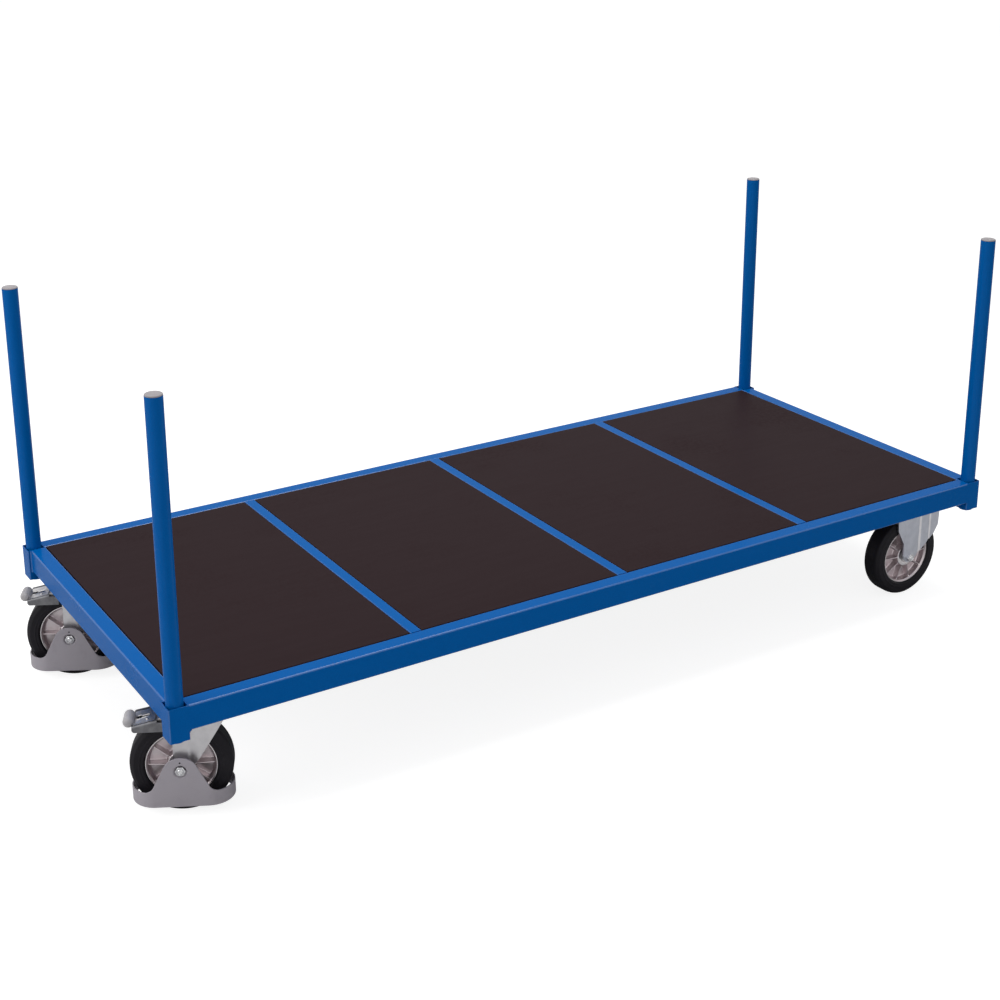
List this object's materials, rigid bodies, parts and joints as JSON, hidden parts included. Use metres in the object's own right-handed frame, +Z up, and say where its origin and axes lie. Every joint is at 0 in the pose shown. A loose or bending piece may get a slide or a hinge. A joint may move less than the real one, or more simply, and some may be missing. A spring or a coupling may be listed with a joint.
{
  "type": "stake cart",
  "caption": "Long flat platform cart with flush dark boards in a steel frame, lift-out corner stakes, braked swivel castors with foot guards at one end and fixed castors at the other.",
  "frame": {"origin": "on the floor, below the middle of the cart's whole length and width", "axes": "+X along the length from the swivel castors to the fixed castors, +Z up, -Y towards the long side seen first in the picture"},
  "size_m": [2.1152, 0.87, 0.89],
  "materials": {
    "blue_paint": "semi-gloss powder coat",
    "board_film": "dark film-faced plywood, satin",
    "cap_plastic": "satin grey plastic",
    "zinc_plate": "zinc plated, satin",
    "zinc_bolt": "zinc plated",
    "bright_steel": "bright plated",
    "cast_aluminium": "die cast, satin",
    "tyre_rubber": "solid rubber, satin",
    "guard_plastic": "satin grey",
    "knob_plastic": "satin grey",
    "shoe_rubber": "matt"
  },
  "bodies": {
    "root": {"side_rail_front": "blue_paint", "side_rail_back": "blue_paint", "end_rail_left": "blue_paint", "end_rail_right": "blue_paint", "cross_bar_1": "blue_paint", "cross_bar_2": "blue_paint", "cross_bar_3": "blue_paint", "socket_front_left": "blue_paint", "socket_front_right": "blue_paint", "socket_back_left": "blue_paint", "socket_back_right": "blue_paint", "board_ledges": "blue_paint", "castor_seats": "blue_paint", "board_1": "board_film", "board_2": "board_film", "board_3": "board_film", "board_4": "board_film", "castor_bolts": "zinc_bolt", "head_plate_front": "zinc_plate", "kingpin_front": "bright_steel", "swivel_balls_front": "bright_steel", "head_plate_back": "zinc_plate", "kingpin_back": "bright_steel", "swivel_balls_back": "bright_steel", "fixed_fork_front": "zinc_plate", "fixed_axle_front": "zinc_bolt", "fixed_fork_back": "zinc_plate", "fixed_axle_back": "zinc_bolt"},
    "stake_front_left": {"stake_front_left": "blue_paint", "cap_front_left": "cap_plastic"},
    "stake_front_right": {"stake_front_right": "blue_paint", "cap_front_right": "cap_plastic"},
    "stake_back_left": {"stake_back_left": "blue_paint", "cap_back_left": "cap_plastic"},
    "stake_back_right": {"stake_back_right": "blue_paint", "cap_back_right": "cap_plastic"},
    "swivel_front": {"fork_front": "zinc_plate", "axle_front": "zinc_bolt", "foot_guard_front": "guard_plastic"},
    "swivel_wheel_front": {"tyre_front": "tyre_rubber", "rim_front": "cast_aluminium", "bearings_front": "bright_steel"},
    "brake_front": {"brake_lever_front": "bright_steel", "brake_knob_front": "knob_plastic", "brake_shoe_front": "shoe_rubber"},
    "swivel_back": {"fork_back": "zinc_plate", "axle_back": "zinc_bolt", "foot_guard_back": "guard_plastic"},
    "swivel_wheel_back": {"tyre_back": "tyre_rubber", "rim_back": "cast_aluminium", "bearings_back": "bright_steel"},
    "brake_back": {"brake_lever_back": "bright_steel", "brake_knob_back": "knob_plastic", "brake_shoe_back": "shoe_rubber"},
    "fixed_wheel_front": {"fixed_tyre_front": "tyre_rubber", "fixed_rim_front": "cast_aluminium", "fixed_bearings_front": "bright_steel"},
    "fixed_wheel_back": {"fixed_tyre_back": "tyre_rubber", "fixed_rim_back": "cast_aluminium", "fixed_bearings_back": "bright_steel"}
  },
  "joints": [
    {"name": "stake_front_left_lift", "type": "slide", "parent": "root", "child": "stake_front_left", "axis": [0, 0, 1], "range_m": [0, 0.12]},
    {"name": "stake_front_right_lift", "type": "slide", "parent": "root", "child": "stake_front_right", "axis": [0, 0, 1], "range_m": [0, 0.12]},
    {"name": "stake_back_left_lift", "type": "slide", "parent": "root", "child": "stake_back_left", "axis": [0, 0, 1], "range_m": [0, 0.12]},
    {"name": "stake_back_right_lift", "type": "slide", "parent": "root", "child": "stake_back_right", "axis": [0, 0, 1], "range_m": [0, 0.12]},
    {"name": "castor_swivel_front", "type": "hinge", "parent": "root", "child": "swivel_front", "pos_m": [-0.9119, -0.321, 0.221], "axis": [0, 0, 1], "continuous": true},
    {"name": "wheel_spin_front", "type": "hinge", "parent": "swivel_front", "child": "swivel_wheel_front", "pos_m": [-0.95581, -0.29814, 0.1], "axis": [0.4617, 0.887, 0], "continuous": true},
    {"name": "brake_press_front", "type": "hinge", "parent": "swivel_front", "child": "brake_front", "pos_m": [-0.95581, -0.29814, 0.2075], "axis": [-0.4617, -0.887, 0], "range_deg": [0, 7]},
    {"name": "castor_swivel_back", "type": "hinge", "parent": "root", "child": "swivel_back", "pos_m": [-0.9119, 0.321, 0.221], "axis": [0, 0, 1], "continuous": true},
    {"name": "wheel_spin_back", "type": "hinge", "parent": "swivel_back", "child": "swivel_wheel_back", "pos_m": [-0.9554, 0.34462, 0.1], "axis": [0.4772, 0.8788, 0], "continuous": true},
    {"name": "brake_press_back", "type": "hinge", "parent": "swivel_back", "child": "brake_back", "pos_m": [-0.9554, 0.34462, 0.2075], "axis": [-0.4772, -0.8788, 0], "range_deg": [0, 7]},
    {"name": "fixed_wheel_spin_front", "type": "hinge", "parent": "root", "child": "fixed_wheel_front", "pos_m": [0.9061, -0.337, 0.1], "axis": [0, 1, 0], "continuous": true},
    {"name": "fixed_wheel_spin_back", "type": "hinge", "parent": "root", "child": "fixed_wheel_back", "pos_m": [0.9061, 0.337, 0.1], "axis": [0, 1, 0], "continuous": true}
  ]
}
